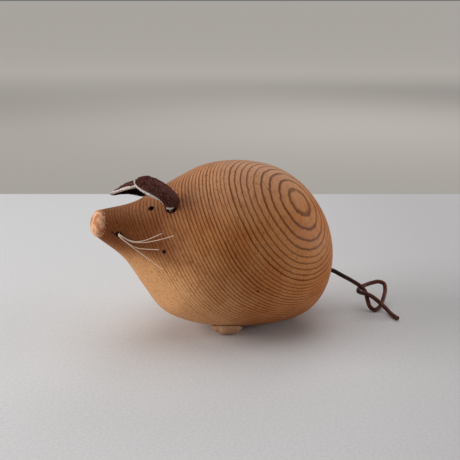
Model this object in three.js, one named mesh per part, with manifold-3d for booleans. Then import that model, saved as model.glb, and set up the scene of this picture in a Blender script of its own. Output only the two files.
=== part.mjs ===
import * as THREE from "three";
import { mergeVertices } from "three/addons/utils/BufferGeometryUtils.js";
import Module from "manifold-3d";

// A turned softwood mouse with leather ears, a knotted leather tail and bristle whiskers.
// Millimetres, +Z up. The nose points to -X, the tail to +X, the mouse's left side is -Y.
// The origin is on the surface that the mouse stands on, under the middle of the body's box.

// Body
const bodyDiameter = 74;
const nosePitch = 15;
const bodySides = 36;
const rowsPerStation = 3;
const noseRows = 5;
const noseDomeShare = 0.08;

// Feet
const footDiameter = 15;
const footFlat = 7;
const footSpread = 16.4;
const footAhead = 22.6;
const footSides = 24;

// Drilled holes
const eyeDiameter = 1.7;
const eyeDepth = 1.6;
const whiskerHoleDepth = 3.2;
const earHoleDiameter = 4.4;
const earHoleDepth = 3.6;
const holeSides = 12;

// Leather
const earLength = 24;
const earWidth = 10.8;
const earThickness = 1.1;
const tailDiameter = 2;
const tailHoleDepth = 6;

// Whiskers
const whiskerDiameter = 0.3;
const whiskerPitch = 0.5;

// The gap between pieces that touch, and the play of what sits in a hole
const gap = 0.3;

const whiskerCount = 4;
const whiskerRow = (whiskerCount - 1) * whiskerPitch + whiskerDiameter;
const whiskerHoleDiameter = whiskerRow + 2 * gap;

const ballRadius = bodyDiameter / 2;
const pitch = THREE.MathUtils.degToRad(nosePitch);
const noseward = new THREE.Vector3(-Math.cos(pitch), 0, Math.sin(pitch));
const upward = new THREE.Vector3(Math.sin(pitch), 0, Math.cos(pitch));
const leftward = new THREE.Vector3(0, -1, 0);

// Rings along the body from the rump to the nose edge, as shares of the ball's radius:
// how far along, how far the ring's centre lies above the axis, and the ring's radius
const bodyRings = [
  [0.00, -0.25, 0.00],
  [0.10, -0.20, 0.30],
  [0.33, -0.11, 0.67],
  [0.66, -0.03, 0.88],
  [1.00, 0.00, 0.98],
  [1.33, -0.01, 1.00],
  [1.61, -0.04, 0.98],
  [1.85, -0.07, 0.92],
  [2.07, -0.11, 0.81],
  [2.33, -0.09, 0.60],
  [2.66, -0.05, 0.33],
  [3.05, -0.02, 0.15],
];

// Where the features sit: along as in the rings, turn in degrees from the top towards one side
const eyePlace = { along: 2.56, turn: 32.5 };
const whiskerPlace = { along: 2.87, turn: 99 };
const earPlace = { along: 2.39, turn: 41 };

const wasm = await Module();
wasm.setup();

// A closed mesh as a solid that can be joined and cut
function toSolid(geometry) {
  const bare = geometry.clone();
  for (const name of ["normal", "uv"]) bare.deleteAttribute(name);
  const merged = mergeVertices(bare, 1e-4);
  const vertProperties = new Float32Array(merged.attributes.position.array);
  const triVerts = new Uint32Array(merged.index.array);
  return new wasm.Manifold(new wasm.Mesh({ numProp: 3, vertProperties, triVerts }));
}

function toGeometry(solid) {
  const mesh = solid.getMesh();
  const geometry = new THREE.BufferGeometry();
  geometry.setAttribute("position", new THREE.BufferAttribute(new Float32Array(mesh.vertProperties), 3));
  geometry.setIndex(new THREE.BufferAttribute(new Uint32Array(mesh.triVerts), 1));
  geometry.computeVertexNormals();
  return geometry;
}

// Rings of points, each with as many points as the next, closed by a point or a flat at each end
function skinRings(rings, startPoint, endPoint) {
  const count = rings[0].length;
  const points = [...rings.flat(), startPoint, endPoint];
  const start = points.length - 2;
  const end = points.length - 1;
  const faces = [];
  for (let row = 0; row < rings.length - 1; row += 1) {
    for (let side = 0; side < count; side += 1) {
      const next = (side + 1) % count;
      const a = row * count + side;
      const b = row * count + next;
      faces.push(a, b + count, b, a, a + count, b + count);
    }
  }
  const last = (rings.length - 1) * count;
  for (let side = 0; side < count; side += 1) {
    const next = (side + 1) % count;
    faces.push(start, side, next, end, last + next, last + side);
  }
  const geometry = new THREE.BufferGeometry().setFromPoints(points);
  geometry.setIndex(faces);
  return geometry;
}

// The smooth line through the rings starts one ring before the rump, mirrored across the axis,
// so that it crosses the axis at a right angle
function makeBodyLine() {
  const [pole, second] = bodyRings;
  const [beforeLast, last] = bodyRings.slice(-2);
  const mirrored = [second[0], 2 * pole[1] - second[1], -second[2]];
  const beyond = last.map((value, index) => 2 * value - beforeLast[index]);
  const places = [mirrored, ...bodyRings, beyond].map((ring) => new THREE.Vector3(...ring));
  return new THREE.CatmullRomCurve3(places, false, "centripetal");
}

const bodyLine = makeBodyLine();
const lineSpans = bodyRings.length + 1;

// The ring at a share of the way from the rump to the nose edge
function ringAt(share) {
  const spot = (1 + share * (bodyRings.length - 1)) / lineSpans;
  const { x, y, z } = bodyLine.getPoint(spot);
  return { along: x, rise: y, radius: z };
}

function allBodyRings() {
  const rings = [];
  const rows = (bodyRings.length - 1) * rowsPerStation;
  for (let row = 1; row <= rows; row += 1) rings.push(ringAt(row / rows));
  const edge = rings[rings.length - 1];
  for (let row = 1; row < noseRows; row += 1) {
    const angle = (row / noseRows) * (Math.PI / 2);
    rings.push({
      along: edge.along + noseDomeShare * Math.sin(angle),
      rise: edge.rise,
      radius: edge.radius * Math.cos(angle),
    });
  }
  return rings;
}

// A point on or off the body's axis, before the body is set down on the surface
function axisPoint(along, rise) {
  return new THREE.Vector3()
    .addScaledVector(noseward, (along - 1) * ballRadius)
    .addScaledVector(upward, rise * ballRadius);
}

function ringPoint(ring, angle, grow) {
  const reach = ring.radius * ballRadius + grow;
  return axisPoint(ring.along, ring.rise)
    .addScaledVector(upward, reach * Math.cos(angle))
    .addScaledVector(leftward, reach * Math.sin(angle));
}

function makeBodyShell(grow) {
  const rings = allBodyRings();
  const turns = Array.from({ length: bodySides }, (_, side) => (side / bodySides) * 2 * Math.PI);
  const points = rings.map((ring) => turns.map((angle) => ringPoint(ring, angle, grow)));
  const [pole] = bodyRings;
  const tip = rings[rings.length - 1];
  const tipAlong = bodyRings[bodyRings.length - 1][0] + noseDomeShare;
  const start = axisPoint(pole[0], pole[1]).addScaledVector(noseward, -grow);
  const end = axisPoint(tipAlong, tip.rise).addScaledVector(noseward, grow);
  return skinRings(points, start, end);
}

// The body is set down so that its lowest point is on the surface and its box is centred
function findBodyPlace() {
  const shell = makeBodyShell(0);
  shell.computeBoundingBox();
  const { min, max } = shell.boundingBox;
  return new THREE.Vector3(-(min.x + max.x) / 2, 0, -min.z);
}

const bodyPlace = findBodyPlace();

// The ring that lies a given distance along, found by halving the line
function ringAlong(along) {
  let low = 0;
  let high = 1;
  for (let step = 0; step < 40; step += 1) {
    const middle = (low + high) / 2;
    if (ringAt(middle).along < along) low = middle;
    else high = middle;
  }
  return ringAt(low);
}

// A point on the placed body, lifted off the skin; side is 1 on the left and -1 on the right
function skinPoint(along, turn, lift, side) {
  const angle = THREE.MathUtils.degToRad(turn) * side;
  return ringPoint(ringAlong(along), angle, lift).add(bodyPlace);
}

function skinNormal(along, turn, side) {
  const step = 0.01;
  const here = skinPoint(along, turn, 0, side);
  const ahead = skinPoint(along + step, turn, 0, side).sub(here);
  const around = skinPoint(along, turn + 1, 0, side).sub(here);
  const normal = ahead.cross(around).normalize();
  const outward = skinPoint(along, turn, 1, side).sub(here);
  return normal.dot(outward) < 0 ? normal.negate() : normal;
}

// The lowest point of the body, where its round belly stands
function findBellyPoint() {
  const shell = makeBodyShell(0);
  const position = shell.attributes.position;
  const lowest = new THREE.Vector3(0, 0, Infinity);
  for (let index = 0; index < position.count; index += 1) {
    const point = new THREE.Vector3().fromBufferAttribute(position, index);
    if (point.z < lowest.z) lowest.copy(point);
  }
  return lowest.add(bodyPlace);
}

const bellyPoint = findBellyPoint();

// A drill of round section with a pointed end, from just outside a point to a depth inside it
function makeDrill(diameter, depth, point, outward, pointLength) {
  const radius = diameter / 2;
  const above = diameter;
  const outline = [
    new THREE.Vector2(0, -depth - pointLength),
    new THREE.Vector2(radius, -depth),
    new THREE.Vector2(radius, above),
    new THREE.Vector2(0, above),
  ];
  const drill = new THREE.LatheGeometry(outline, holeSides);
  drill.applyQuaternion(new THREE.Quaternion().setFromUnitVectors(new THREE.Vector3(0, 1, 0), outward));
  drill.translate(point.x, point.y, point.z);
  return drill;
}

// The tail's route: out of the rump, down to the surface, round the loop, back behind the
// standing part and round it, then under the loop's far side to the cut end
const tailRoute = [
  [50.6, 0, 17.8],
  [54.6, 0, 17.9],
  [59.9, -0.9, 18.6],
  [65.1, -3, 15.8],
  [69.3, -5.8, 13.2],
  [72.1, -8.2, 11.1],
  [73.7, -10.6, 8.8],
  [73.6, -13.2, 5.2],
  [73.8, -15, 2.5],
  [75.6, -16.4, 1.1],
  [79.2, -15.6, 1.9],
  [83, -12.7, 4.3],
  [86, -9.8, 7.4],
  [86.5, -7.8, 9.8],
  [84.4, -6.4, 10.7],
  [80.9, -5.7, 10.4],
  [77.2, -5.6, 9.8],
  [73.8, -6.2, 9.2],
  [71.4, -8.3, 8.5],
  [71.2, -11.4, 8.7],
  [72.6, -13.3, 8.6],
  [75, -14.3, 7.3],
  [77.5, -16, 5.1],
  [79.2, -19.6, 2.8],
  [79.4, -24.2, 1.3],
  [79, -29.8, 1.1],
];
const tailSteps = 76;

const tailCurve = new THREE.CatmullRomCurve3(
  tailRoute.map((place) => new THREE.Vector3(...place)),
  false,
  "centripetal",
);
const tailExit = new THREE.Vector3(...tailRoute[1]);

function roundSection(diameter, sides) {
  const corners = Array.from({ length: sides }, (_, side) => {
    const angle = (side / sides) * 2 * Math.PI;
    return new THREE.Vector2(Math.cos(angle), Math.sin(angle)).multiplyScalar(diameter / 2);
  });
  return new THREE.Shape(corners);
}

function makeTube(curve, diameter, sides, steps) {
  const section = roundSection(diameter, sides);
  return new THREE.ExtrudeGeometry(section, { steps, extrudePath: curve, bevelEnabled: false });
}

function makeTail() {
  return makeTube(tailCurve, tailDiameter, 8, tailSteps);
}

function makeBody() {
  const shell = makeBodyShell(0);
  shell.translate(bodyPlace.x, bodyPlace.y, bodyPlace.z);
  let body = toSolid(shell);
  const cut = (geometry) => {
    body = body.subtract(toSolid(geometry));
  };
  for (const side of [1, -1]) {
    const eye = skinPoint(eyePlace.along, eyePlace.turn, 0, side);
    const eyeOut = skinNormal(eyePlace.along, eyePlace.turn, side);
    cut(makeDrill(eyeDiameter, eyeDepth, eye, eyeOut, eyeDiameter / 3));
    const cheek = skinPoint(whiskerPlace.along, whiskerPlace.turn, 0, side);
    const cheekOut = skinNormal(whiskerPlace.along, whiskerPlace.turn, side);
    cut(makeDrill(whiskerHoleDiameter, whiskerHoleDepth, cheek, cheekOut, gap));
    const earRoot = skinPoint(earPlace.along, earPlace.turn, 0, side);
    const earOut = skinNormal(earPlace.along, earPlace.turn, side);
    cut(makeDrill(earHoleDiameter, earHoleDepth, earRoot, earOut, gap));
  }
  const tailOut = new THREE.Vector3(1, 0, 0);
  cut(makeDrill(tailDiameter + 2 * gap, tailHoleDepth + gap, tailExit, tailOut, gap));
  return toGeometry(body);
}

// A stud with a domed foot and a small flat that it stands on, cut to the belly above it
function makeFoot(side) {
  const radius = footDiameter / 2;
  const flatRadius = footFlat / 2;
  const domeHeight = radius * 0.62;
  const studHeight = ballRadius / 2;
  const flatAngle = Math.asin(flatRadius / radius);
  const outline = [new THREE.Vector2(0, 0)];
  const domeRows = 5;
  for (let row = 0; row <= domeRows; row += 1) {
    const angle = flatAngle + (row / domeRows) * (Math.PI / 2 - flatAngle);
    const rise = (Math.cos(flatAngle) - Math.cos(angle)) / Math.cos(flatAngle);
    outline.push(new THREE.Vector2(radius * Math.sin(angle), domeHeight * rise));
  }
  outline.push(new THREE.Vector2(radius, studHeight), new THREE.Vector2(0, studHeight));
  const stud = new THREE.LatheGeometry(outline, footSides);
  stud.rotateX(Math.PI / 2);
  stud.translate(bellyPoint.x - footAhead, (-side * footSpread) / 2, 0);
  const belly = makeBodyShell(gap);
  belly.translate(bodyPlace.x, bodyPlace.y, bodyPlace.z);
  return toGeometry(toSolid(stud).subtract(toSolid(belly)));
}

// Each ear's middle line from just above its hole to its tip, as offsets from the hole's mouth in
// shares of the ear's length, and the directions across it from the outer edge to the inner one
const earLines = {
  left: {
    middle: [[0.01, -0.05, 0.15], [-0.05, -0.02, 0.26], [-0.19, 0.05, 0.38], [-0.36, 0.11, 0.46], [-0.57, 0.13, 0.49]],
    across: [[6, 1.5, 2], [6, 1.5, 2], [6.2, 2.6, 2.4], [6.4, 4.2, 3.4], [5.6, 6, 4.8], [4.2, 6.4, 5.2], [2.5, 6, 4]],
  },
  right: {
    middle: [[-0.05, 0.06, 0.15], [-0.15, 0.07, 0.22], [-0.31, 0.06, 0.24], [-0.5, 0.08, 0.18], [-0.7, 0.1, 0.11]],
    across: [[6, -1.5, 2], [6, -1.5, 2], [4, -5, 3], [1, -8, 5], [-2.5, -9, 6], [-4, -7.5, 4], [-2, -6, 4]],
  },
};
const earWidths = [0.28, 0.34, 0.78, 1, 1, 0.98, 0.8];
const earCurl = [3.4, 3.2, 1.7, 1.1, 0.9, 0.8, 0.6];
const earRows = 18;
const earColumns = 6;

// A value read off a short list that spreads evenly from the root to the tip
function blend(list, share) {
  const spot = Math.min(share, 1) * (list.length - 1);
  const index = Math.min(Math.floor(spot), list.length - 2);
  return THREE.MathUtils.lerp(list[index], list[index + 1], spot - index);
}

// A leather petal of even thickness, gathered into its hole at the root
function makeEar(name) {
  const side = name === "left" ? 1 : -1;
  const mouth = skinPoint(earPlace.along, earPlace.turn, 0, side);
  const out = skinNormal(earPlace.along, earPlace.turn, side);
  const rooted = [gap - earHoleDepth, gap].map((lift) => mouth.clone().addScaledVector(out, lift));
  const place = (shares) => new THREE.Vector3(...shares).multiplyScalar(earLength).add(mouth);
  const middle = new THREE.CatmullRomCurve3([...rooted, ...earLines[name].middle.map(place)]);
  const across = new THREE.CatmullRomCurve3(earLines[name].across.map((value) => new THREE.Vector3(...value)));
  const rings = [];
  for (let row = 0; row <= earRows; row += 1) {
    const share = row / earRows;
    const centre = middle.getPoint(share);
    const along = middle.getTangent(share);
    const sideways = across.getPoint(share);
    sideways.addScaledVector(along, -sideways.dot(along)).normalize();
    const outward = new THREE.Vector3().crossVectors(sideways, along).normalize().multiplyScalar(side);
    const roundTip = Math.sqrt(Math.max(1 - Math.max((share - 0.72) / 0.3, 0) ** 2, 0));
    const width = earWidth * blend(earWidths, share) * roundTip;
    const curl = blend(earCurl, share);
    const curlRadius = width / curl;
    const upper = [];
    const under = [];
    for (let column = 0; column <= earColumns; column += 1) {
      const angle = (column / earColumns - 0.5) * curl;
      const edge = centre.clone()
        .addScaledVector(sideways, curlRadius * Math.sin(angle))
        .addScaledVector(outward, curlRadius * (Math.cos(angle) - 1));
      const thick = Math.min(earThickness, 0.9 * curlRadius);
      const inward = edge.clone()
        .addScaledVector(sideways, -thick * Math.sin(angle))
        .addScaledVector(outward, -thick * Math.cos(angle));
      upper.push(edge);
      under.unshift(inward);
    }
    rings.push([...upper, ...under]);
  }
  return closeEar(rings, side < 0);
}

// The petal's two ends are closed by strips between its upper and under faces; the right ear is
// built as a mirror of the left one, so its faces are turned round
function closeEar(rings, mirrored) {
  const count = rings[0].length;
  const half = count / 2;
  const faces = [];
  for (let row = 0; row < rings.length - 1; row += 1) {
    for (let corner = 0; corner < count; corner += 1) {
      const next = (corner + 1) % count;
      const a = row * count + corner;
      const b = row * count + next;
      faces.push(a, b, b + count, a, b + count, a + count);
    }
  }
  const last = (rings.length - 1) * count;
  for (let column = 0; column < half - 1; column += 1) {
    const far = count - 1 - column;
    faces.push(column + 1, column, far, column + 1, far, far - 1);
    faces.push(last + column, last + column + 1, last + far, last + column + 1, last + far - 1, last + far);
  }
  const geometry = new THREE.BufferGeometry().setFromPoints(rings.flat());
  geometry.setIndex(mirrored ? faces.reverse() : faces);
  return geometry;
}

// Each bristle from its hole back along the cheek: along and turn as above, and the lift off the skin
const bristleRoutes = [
  [[2.75, 100, 1.5], [2.66, 92, 2.4], [2.5, 74.5, 3.4]],
  [[2.745, 103.5, 1.6], [2.65, 95.5, 2.5], [2.54, 84.5, 3.2], [2.4, 74.5, 3.6]],
  [[2.76, 107, 1.5], [2.675, 105, 2.3], [2.5, 94, 3.2]],
  [[2.755, 111, 1.5], [2.66, 112, 2.3], [2.5, 112.5, 3], [2.42, 112, 3.5]],
];

function makeBristle(index, side) {
  const hole = skinPoint(whiskerPlace.along, whiskerPlace.turn, 0, side);
  const outward = skinNormal(whiskerPlace.along, whiskerPlace.turn, side);
  const upwards = new THREE.Vector3().crossVectors(noseward, outward).normalize().multiplyScalar(side);
  const middle = (whiskerCount - 1) / 2;
  const root = hole.clone().addScaledVector(upwards, (middle - index) * whiskerPitch);
  const inside = root.clone().addScaledVector(outward, -whiskerHoleDepth + 2 * gap);
  const outside = root.clone().addScaledVector(outward, whiskerDiameter);
  const free = bristleRoutes[index].map(([along, turn, lift]) => skinPoint(along, turn, lift, side));
  const curve = new THREE.CatmullRomCurve3([inside, outside, ...free], false, "centripetal");
  return makeTube(curve, whiskerDiameter, 5, 9);
}

// Finishes, each with a colour, a roughness and a metalness
const wood = new THREE.MeshStandardMaterial({ color: 0xa9703f, roughness: 0.6, metalness: 0 });
const paleWood = new THREE.MeshStandardMaterial({ color: 0xcba383, roughness: 0.6, metalness: 0 });
const earLeather = new THREE.MeshStandardMaterial({ color: 0x4a2722, roughness: 0.85, metalness: 0 });
const tailLeather = new THREE.MeshStandardMaterial({ color: 0x5a2d22, roughness: 0.55, metalness: 0 });
const bristle = new THREE.MeshStandardMaterial({ color: 0xe6d3bd, roughness: 0.5, metalness: 0 });

const mouse = new THREE.Group();

function addPiece(name, geometry, material) {
  const mesh = new THREE.Mesh(geometry, material);
  mesh.name = name;
  mouse.add(mesh);
}

addPiece("body", makeBody(), wood);
for (const [name, side] of [["left", 1], ["right", -1]]) {
  addPiece(`foot_${name}`, makeFoot(side), paleWood);
  addPiece(`ear_${name}`, makeEar(name), earLeather);
  for (let index = 0; index < whiskerCount; index += 1) {
    addPiece(`whisker_${name}_${index + 1}`, makeBristle(index, side), bristle);
  }
}
addPiece("tail", makeTail(), tailLeather);

export default mouse;
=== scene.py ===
import math

import bmesh
import bpy
import numpy as np
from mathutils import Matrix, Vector, noise as spaceNoise
from mathutils.bvhtree import BVHTree


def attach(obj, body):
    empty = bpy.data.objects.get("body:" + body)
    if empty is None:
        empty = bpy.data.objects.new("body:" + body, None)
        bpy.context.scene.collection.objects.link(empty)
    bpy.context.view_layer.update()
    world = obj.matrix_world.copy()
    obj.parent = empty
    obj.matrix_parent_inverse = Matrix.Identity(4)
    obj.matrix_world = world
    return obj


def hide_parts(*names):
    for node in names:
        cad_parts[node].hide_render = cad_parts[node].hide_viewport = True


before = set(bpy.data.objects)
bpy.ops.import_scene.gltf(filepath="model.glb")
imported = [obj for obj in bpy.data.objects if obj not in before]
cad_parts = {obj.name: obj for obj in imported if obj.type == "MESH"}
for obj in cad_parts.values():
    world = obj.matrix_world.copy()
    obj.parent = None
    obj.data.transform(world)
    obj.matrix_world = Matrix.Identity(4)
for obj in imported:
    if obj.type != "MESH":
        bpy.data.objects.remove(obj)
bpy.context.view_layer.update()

# A turned softwood mouse with leather ears, a knotted leather tail and bristle whiskers.
# Metres, +Z up: the nose points to -X, the tail to +X, and the mouse's left side is -Y.

mm = 0.001
mergeReach = 1e-6  # points nearer than this are one point

# Camera

view = {
    "azimuth": -25.05,
    "elevation": 16.0,
    "place": (-137.34, -309.74, 142.58),  # in millimetres
    "fieldOfView": 32.0,
    "nearest": 0.01,
    "farthest": 200,
}


def backDirection():
    azimuth = math.radians(view["azimuth"])
    elevation = math.radians(view["elevation"])
    flat = math.cos(elevation)
    return Vector((math.sin(azimuth) * flat, -math.cos(azimuth) * flat, math.sin(elevation)))


def makeCamera():
    lens = bpy.data.cameras.new("camera")
    lens.sensor_fit = "HORIZONTAL"
    lens.angle = math.radians(view["fieldOfView"])
    lens.clip_start = view["nearest"]
    lens.clip_end = view["farthest"]
    holder = bpy.data.objects.new("camera", lens)
    holder.location = Vector(view["place"]) * mm
    holder.rotation_euler = backDirection().to_track_quat("Z", "Y").to_euler()
    bpy.context.scene.collection.objects.link(holder)
    bpy.context.scene.camera = holder


makeCamera()
print("camera set")


# Smooth lines through a few places

def smoothAt(places, share):
    count = len(places)
    spot = (count - 1) * share
    first = min(int(spot), count - 2)
    part = spot - first
    p1, p2 = places[first], places[first + 1]
    p0 = places[first - 1] if first > 0 else 2 * p1 - p2
    p3 = places[first + 2] if first + 2 < count else 2 * p2 - p1
    d0, d1, d2 = (math.sqrt(np.linalg.norm(b - a)) for a, b in ((p0, p1), (p1, p2), (p2, p3)))
    d1 = d1 or 1.0
    d0, d2 = d0 or d1, d2 or d1
    t1 = ((p1 - p0) / d0 - (p2 - p0) / (d0 + d1) + (p2 - p1) / d1) * d1
    t2 = ((p2 - p1) / d1 - (p3 - p1) / (d1 + d2) + (p3 - p2) / d2) * d1
    c2 = -3 * p1 + 3 * p2 - 2 * t1 - t2
    c3 = 2 * p1 - 2 * p2 + t1 + t2
    return p1 + t1 * part + c2 * part ** 2 + c3 * part ** 3


def smoothLine(places, steps):
    places = np.array(places, float)
    return np.array([smoothAt(places, step / steps) for step in range(steps + 1)])


# Node trees: a value may be a number, a colour or the output of another node

def addNode(tree, kind, values=None, **settings):
    node = tree.nodes.new(kind)
    for name, value in settings.items():
        setattr(node, name, value)
    for name, value in (values or {}).items():
        if isinstance(value, bpy.types.NodeSocket):
            tree.links.new(value, node.inputs[name])
        else:
            node.inputs[name].default_value = value
    return node


def calc(tree, operation, *values):
    node = addNode(tree, "ShaderNodeMath", dict(enumerate(values)), operation=operation)
    return node.outputs[0]


def calcVector(tree, operation, *values, scale=None):
    node = addNode(tree, "ShaderNodeVectorMath", dict(enumerate(values)), operation=operation)
    if scale is not None:
        if isinstance(scale, bpy.types.NodeSocket):
            tree.links.new(scale, node.inputs["Scale"])
        else:
            node.inputs["Scale"].default_value = scale
    return node.outputs["Value" if operation in ("DOT_PRODUCT", "LENGTH", "DISTANCE") else "Vector"]


def smoothRange(tree, value, low, high, start=0.0, end=1.0):
    values = {"Value": value, "From Min": low, "From Max": high, "To Min": start, "To Max": end}
    return addNode(tree, "ShaderNodeMapRange", values, interpolation_type="SMOOTHSTEP").outputs["Result"]


def noise(tree, vector, scale, detail=3.0, roughness=0.5):
    values = {"Vector": vector, "Scale": scale, "Detail": detail, "Roughness": roughness}
    return addNode(tree, "ShaderNodeTexNoise", values).outputs["Fac"]


def mixColour(tree, share, first, second, blend="MIX"):
    node = addNode(tree, "ShaderNodeMix", {0: share}, data_type="RGBA", blend_type=blend)
    for index, value in ((6, first), (7, second)):
        if isinstance(value, bpy.types.NodeSocket):
            tree.links.new(value, node.inputs[index])
        else:
            node.inputs[index].default_value = (*value, 1.0)
    return node.outputs[2]


def startMaterial(name, roughness, specular=0.5):
    material = bpy.data.materials.new(name)
    material.use_nodes = True
    tree = material.node_tree
    shader = tree.nodes["Principled BSDF"]
    shader.inputs["Roughness"].default_value = roughness
    shader.inputs["Specular IOR Level"].default_value = specular
    coords = addNode(tree, "ShaderNodeTexCoord").outputs["Object"]
    return material, tree, shader, coords


def addBump(tree, shader, height, strength, distance):
    values = {"Height": height, "Strength": strength, "Distance": distance}
    bump = addNode(tree, "ShaderNodeBump", values)
    tree.links.new(bump.outputs["Normal"], shader.inputs["Normal"])


def startTree(name, inputs):
    tree = bpy.data.node_groups.new(name, "GeometryNodeTree")
    tree.interface.new_socket("Geometry", in_out="OUTPUT", socket_type="NodeSocketGeometry")
    for label, kind in inputs.items():
        tree.interface.new_socket(label, in_out="INPUT", socket_type="NodeSocket" + kind)
    return tree, tree.nodes.new("NodeGroupInput").outputs, tree.nodes.new("NodeGroupOutput").inputs


def endTree(tree, geometry, material, result):
    real = addNode(tree, "GeometryNodeRealizeInstances", {"Geometry": geometry})
    smooth = addNode(tree, "GeometryNodeSetShadeSmooth", {"Geometry": real.outputs[0]})
    values = {"Geometry": smooth.outputs[0], "Material": material}
    finished = addNode(tree, "GeometryNodeSetMaterial", values)
    tree.links.new(finished.outputs[0], result[0])


def linkNew(name, data):
    thing = bpy.data.objects.new(name, data)
    bpy.context.scene.collection.objects.link(thing)
    return thing


def meshFrom(source):
    bpy.context.view_layer.update()
    depsgraph = bpy.context.evaluated_depsgraph_get()
    return bpy.data.meshes.new_from_object(source.evaluated_get(depsgraph), depsgraph=depsgraph)


# Runs a tree on an empty object and keeps its result as that object's plain mesh
def growPiece(name, tree, settings):
    piece = linkNew(name, bpy.data.meshes.new(name))
    modifier = piece.modifiers.new("make", "NODES")
    modifier.node_group = tree
    for socket in tree.interface.items_tree:
        if socket.in_out == "INPUT" and socket.name in settings:
            modifier[socket.identifier] = settings[socket.name]
    made = meshFrom(piece)
    piece.modifiers.clear()
    piece.data = made
    made.name = name
    return piece


def makePath(name, places, radii=None):
    curve = bpy.data.curves.new(name, "CURVE")
    curve.dimensions = "3D"
    spline = curve.splines.new("POLY")
    spline.points.add(len(places) - 1)
    for index, place in enumerate(places):
        spline.points[index].co = (*place, 1.0)
        spline.points[index].radius = 1.0 if radii is None else radii[index]
    return linkNew(name, curve)


def removeObject(thing):
    bpy.data.objects.remove(thing)


# A closed mesh keeps its faces outwards
def turnOutwards(mesh, merged=True):
    work = bmesh.new()
    work.from_mesh(mesh)
    if merged:
        bmesh.ops.remove_doubles(work, verts=work.verts, dist=mergeReach)
    bmesh.ops.recalc_face_normals(work, faces=work.faces)
    if work.calc_volume(signed=True) < 0:
        bmesh.ops.reverse_faces(work, faces=work.faces)
    work.to_mesh(mesh)
    work.free()


def settle(piece, slot, *nodes):
    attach(piece, "root")
    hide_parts(*nodes)


# A round section along a path, thicker or thinner by the path's own radius
def makeTubeTree():
    tree, given, result = startTree("roundSection", {
        "Path": "Object",
        "Radius": "Float",
        "Sides": "Int",
        "Finish": "Material",
    })
    path = addNode(tree, "GeometryNodeObjectInfo", {"Object": given["Path"]})
    circle = addNode(tree, "GeometryNodeCurvePrimitiveCircle", {
        "Radius": given["Radius"],
        "Resolution": given["Sides"],
    })
    tube = addNode(tree, "GeometryNodeCurveToMesh", {
        "Curve": path.outputs["Geometry"],
        "Profile Curve": circle.outputs["Curve"],
        "Fill Caps": True,
    })
    endTree(tree, tube.outputs["Mesh"], given["Finish"], result)
    return tree


tubeTree = makeTubeTree()


def makeTube(name, places, diameter, sides, material, radii=None):
    path = makePath(name + "Path", places, radii)
    settings = {"Path": path, "Radius": diameter / 2, "Sides": sides, "Finish": material}
    piece = growPiece(name, tubeTree, settings)
    removeObject(path)
    turnOutwards(piece.data)
    return piece


# Tail: one round leather cord with one loose overhand knot. The route's lengths are in metres.

tail = {
    "diameter": 0.002,
    "length": 0.1019,
    "steps": 360,
    "sides": 28,
    "colour": (0.088, 0.020, 0.011),
    # Painted shade: the cord is painted near-black close to the body, where shadow falls on it
    "paintedShade": (0.010, 0.004, 0.003),  # near the body
    "paintedShadeRange": (0.060, 0.082),  # from all dark to none, along X
    "worn": (0.17, 0.048, 0.028),
    "patches": 240,
    "grain": 1500,
    "exit": (0.0546, 0.0, 0.0179),
    "route": [
        (0.0506, 0.0000, 0.0178),
        (0.0546, 0.0000, 0.0179),
        (0.0599, -0.0009, 0.0186),
        (0.0651, -0.0030, 0.0158),
        (0.0693, -0.0058, 0.0132),
        (0.0721, -0.0082, 0.0111),
        (0.0737, -0.0106, 0.0088),
        (0.0736, -0.0132, 0.0052),
        (0.0738, -0.0150, 0.0025),
        (0.0756, -0.0164, 0.0011),
        (0.0792, -0.0156, 0.0019),
        (0.0830, -0.0127, 0.0043),
        (0.0860, -0.0098, 0.0074),
        (0.0865, -0.0078, 0.0098),
        (0.0844, -0.0064, 0.0107),
        (0.0809, -0.0057, 0.0104),
        (0.0772, -0.0056, 0.0098),
        (0.0738, -0.0062, 0.0092),
        (0.0714, -0.0083, 0.0085),
        (0.0712, -0.0114, 0.0087),
        (0.0726, -0.0133, 0.0086),
        (0.0750, -0.0143, 0.0073),
        (0.0775, -0.0160, 0.0051),
        (0.0792, -0.0196, 0.0028),
        (0.0794, -0.0242, 0.0013),
        (0.0790, -0.0298, 0.0011),
    ],
}


def tailMaterial():
    material, tree, shader, coords = startMaterial("tailLeather", 0.5, 0.25)
    broad = noise(tree, coords, tail["patches"], 3)
    fine = noise(tree, coords, tail["grain"], 4, 0.6)
    worn = smoothRange(tree, calc(tree, "ADD", broad, calc(tree, "MULTIPLY", fine, 0.35)), 0.55, 0.85)
    ahead = addNode(tree, "ShaderNodeSeparateXYZ", {0: coords}).outputs["X"]
    colour = mixColour(tree, worn, tail["colour"], tail["worn"])
    # Painted shade on the cord close to the body
    colour = mixColour(tree, smoothRange(tree, ahead, *tail["paintedShadeRange"]), tail["paintedShade"], colour)
    tree.links.new(colour, shader.inputs["Base Color"])
    tree.links.new(smoothRange(tree, fine, 0.3, 0.7, 0.42, 0.6), shader.inputs["Roughness"])
    addBump(tree, shader, fine, 0.5, 0.0002)
    return material


def makeTail():
    line = smoothLine(tail["route"], tail["steps"])
    piece = makeTube("leatherTail", line, tail["diameter"], tail["sides"], tailMaterial())
    settle(piece, "tail_leather", "tail")


makeTail()
print("tail made")

# Body: turned round a pitched axis. Along, rise and radius are shares of the ball's radius.

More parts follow.
